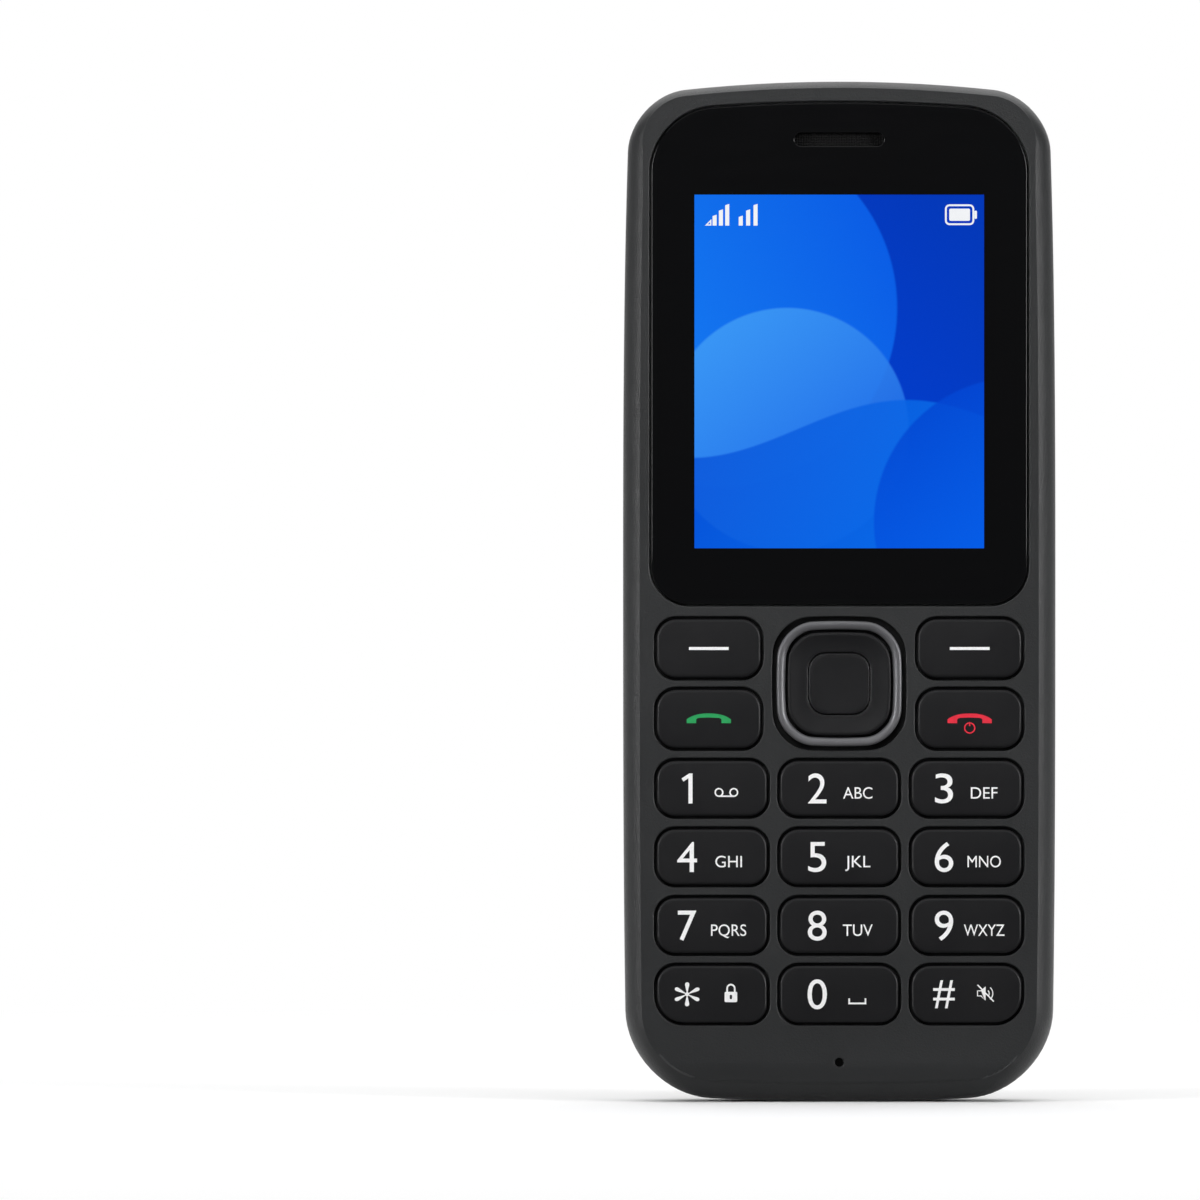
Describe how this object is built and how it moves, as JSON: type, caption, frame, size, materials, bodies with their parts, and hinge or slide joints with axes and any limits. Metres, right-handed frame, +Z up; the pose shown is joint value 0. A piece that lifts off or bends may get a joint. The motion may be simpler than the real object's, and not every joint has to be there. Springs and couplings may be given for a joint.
{
  "type": "keypad mobile phone",
  "caption": "Upright keypad phone with a colour display above, four-way key and push keys below, removable back cover with a torch, and sockets at the top end.",
  "frame": {"origin": "centre of the bounding box at its lowest level, on the bottom end", "axes": "+Z up the phone from its bottom end, -Y out of the face, +X to the right as seen from the face"},
  "size_m": [0.048, 0.0136, 0.1132],
  "materials": {
    "housing_plastic": "fine satin",
    "cover_plastic": "fine satin",
    "key_plastic": "soft matt",
    "window_glass": "polished",
    "adhesive": "matt",
    "mesh_metal": "woven",
    "foam": "matt",
    "display_glass": "glossy",
    "frame_plastic": "matt",
    "flex_film": "glossy",
    "ring_metal": "satin",
    "silicone": "matt",
    "dome_film": "glossy",
    "board_laminate": "glossy",
    "socket_plastic": "matt",
    "plated_steel": "plated",
    "speaker_shell": "matt",
    "dense_metal": "sintered",
    "lens_plastic": "polished",
    "led_body": "glossy",
    "chassis_plastic": "matt",
    "screw_steel": "blackened",
    "contact_block": "plated",
    "battery_wrap": "satin film",
    "antenna_metal": "plated"
  },
  "bodies": {
    "housing": {"front_housing": "housing_plastic", "display_window": "window_glass", "window_adhesive": "adhesive", "earpiece_mesh": "mesh_metal", "display_gasket": "foam", "display_panel": "display_glass", "backlight_frame": "frame_plastic", "display_flex": "flex_film", "keypad_mat": "silicone", "dome_sheet": "dome_film", "circuit_board": "board_laminate", "headphone_jack": "socket_plastic", "usb_connector": "plated_steel", "usb_tongue": "socket_plastic", "microphone": "plated_steel", "microphone_boot": "silicone", "speaker": "speaker_shell", "speaker_gasket": "foam", "vibration_motor": "plated_steel", "torch_lens": "lens_plastic", "torch_led": "led_body", "rear_chassis": "chassis_plastic", "chassis_screws": "screw_steel", "battery_contacts": "contact_block", "radio_shield": "plated_steel", "processor_shield": "plated_steel", "antenna": "antenna_metal", "sim_holder_left": "plated_steel", "sim_holder_right": "plated_steel", "memory_card_holder": "plated_steel"},
    "key_1_body": {"key_1": "key_plastic"},
    "key_2_body": {"key_2": "key_plastic"},
    "key_3_body": {"key_3": "key_plastic"},
    "key_4_body": {"key_4": "key_plastic"},
    "key_5_body": {"key_5": "key_plastic"},
    "key_6_body": {"key_6": "key_plastic"},
    "key_7_body": {"key_7": "key_plastic"},
    "key_8_body": {"key_8": "key_plastic"},
    "key_9_body": {"key_9": "key_plastic"},
    "key_star_body": {"key_star": "key_plastic"},
    "key_0_body": {"key_0": "key_plastic"},
    "key_hash_body": {"key_hash": "key_plastic"},
    "soft_key_left_body": {"soft_key_left": "key_plastic"},
    "soft_key_right_body": {"soft_key_right": "key_plastic"},
    "call_key_body": {"call_key": "key_plastic"},
    "end_key_body": {"end_key": "key_plastic"},
    "select_key_body": {"select_key": "key_plastic"},
    "nav_carrier": {"nav_cushion": "silicone"},
    "nav_rocker_body": {"nav_rocker": "key_plastic", "nav_ring": "ring_metal"},
    "cover": {"back_cover": "cover_plastic"},
    "battery_body": {"battery": "battery_wrap"},
    "vibration_weight_body": {"vibration_weight": "dense_metal"}
  },
  "joints": [
    {"name": "key_1_press", "type": "slide", "parent": "housing", "child": "key_1_body", "axis": [0, 1, 0], "range_m": [0, 0.0003], "stiffness_N_per_m": 2000},
    {"name": "key_2_press", "type": "slide", "parent": "housing", "child": "key_2_body", "axis": [0, 1, 0], "range_m": [0, 0.0003], "stiffness_N_per_m": 2000},
    {"name": "key_3_press", "type": "slide", "parent": "housing", "child": "key_3_body", "axis": [0, 1, 0], "range_m": [0, 0.0003], "stiffness_N_per_m": 2000},
    {"name": "key_4_press", "type": "slide", "parent": "housing", "child": "key_4_body", "axis": [0, 1, 0], "range_m": [0, 0.0003], "stiffness_N_per_m": 2000},
    {"name": "key_5_press", "type": "slide", "parent": "housing", "child": "key_5_body", "axis": [0, 1, 0], "range_m": [0, 0.0003], "stiffness_N_per_m": 2000},
    {"name": "key_6_press", "type": "slide", "parent": "housing", "child": "key_6_body", "axis": [0, 1, 0], "range_m": [0, 0.0003], "stiffness_N_per_m": 2000},
    {"name": "key_7_press", "type": "slide", "parent": "housing", "child": "key_7_body", "axis": [0, 1, 0], "range_m": [0, 0.0003], "stiffness_N_per_m": 2000},
    {"name": "key_8_press", "type": "slide", "parent": "housing", "child": "key_8_body", "axis": [0, 1, 0], "range_m": [0, 0.0003], "stiffness_N_per_m": 2000},
    {"name": "key_9_press", "type": "slide", "parent": "housing", "child": "key_9_body", "axis": [0, 1, 0], "range_m": [0, 0.0003], "stiffness_N_per_m": 2000},
    {"name": "key_star_press", "type": "slide", "parent": "housing", "child": "key_star_body", "axis": [0, 1, 0], "range_m": [0, 0.0003], "stiffness_N_per_m": 2000},
    {"name": "key_0_press", "type": "slide", "parent": "housing", "child": "key_0_body", "axis": [0, 1, 0], "range_m": [0, 0.0003], "stiffness_N_per_m": 2000},
    {"name": "key_hash_press", "type": "slide", "parent": "housing", "child": "key_hash_body", "axis": [0, 1, 0], "range_m": [0, 0.0003], "stiffness_N_per_m": 2000},
    {"name": "soft_key_left_press", "type": "slide", "parent": "housing", "child": "soft_key_left_body", "axis": [0, 1, 0], "range_m": [0, 0.0003], "stiffness_N_per_m": 2000},
    {"name": "soft_key_right_press", "type": "slide", "parent": "housing", "child": "soft_key_right_body", "axis": [0, 1, 0], "range_m": [0, 0.0003], "stiffness_N_per_m": 2000},
    {"name": "call_key_press", "type": "slide", "parent": "housing", "child": "call_key_body", "axis": [0, 1, 0], "range_m": [0, 0.0003], "stiffness_N_per_m": 2000},
    {"name": "end_key_press", "type": "slide", "parent": "housing", "child": "end_key_body", "axis": [0, 1, 0], "range_m": [0, 0.0003], "stiffness_N_per_m": 2000},
    {"name": "select_key_press", "type": "slide", "parent": "housing", "child": "select_key_body", "axis": [0, 1, 0], "range_m": [0, 0.0003], "stiffness_N_per_m": 2000},
    {"name": "nav_tilt_up_down", "type": "hinge", "parent": "housing", "child": "nav_carrier", "pos_m": [0, -0.00413, 0.0464], "axis": [1, 0, 0], "range_deg": [-2, 2], "stiffness_Nm_per_rad": 0.2},
    {"name": "nav_tilt_left_right", "type": "hinge", "parent": "nav_carrier", "child": "nav_rocker_body", "pos_m": [0, -0.00413, 0.0464], "axis": [0, 0, 1], "range_deg": [-2, 2], "stiffness_Nm_per_rad": 0.2},
    {"name": "cover_lift", "type": "slide", "parent": "housing", "child": "cover", "axis": [0, 1, 0], "range_m": [0, 0.03]},
    {"name": "battery_lift", "type": "slide", "parent": "housing", "child": "battery_body", "axis": [0, 1, 0], "range_m": [0, 0.015]},
    {"name": "vibration_spin", "type": "hinge", "parent": "housing", "child": "vibration_weight_body", "pos_m": [-0.0128, 0.00133, 0.1017], "axis": [0, 0, 1], "continuous": true}
  ],
  "couplings": [
    {"joint": "battery_lift", "follows": "cover_lift", "ratio": 0.5}
  ]
}
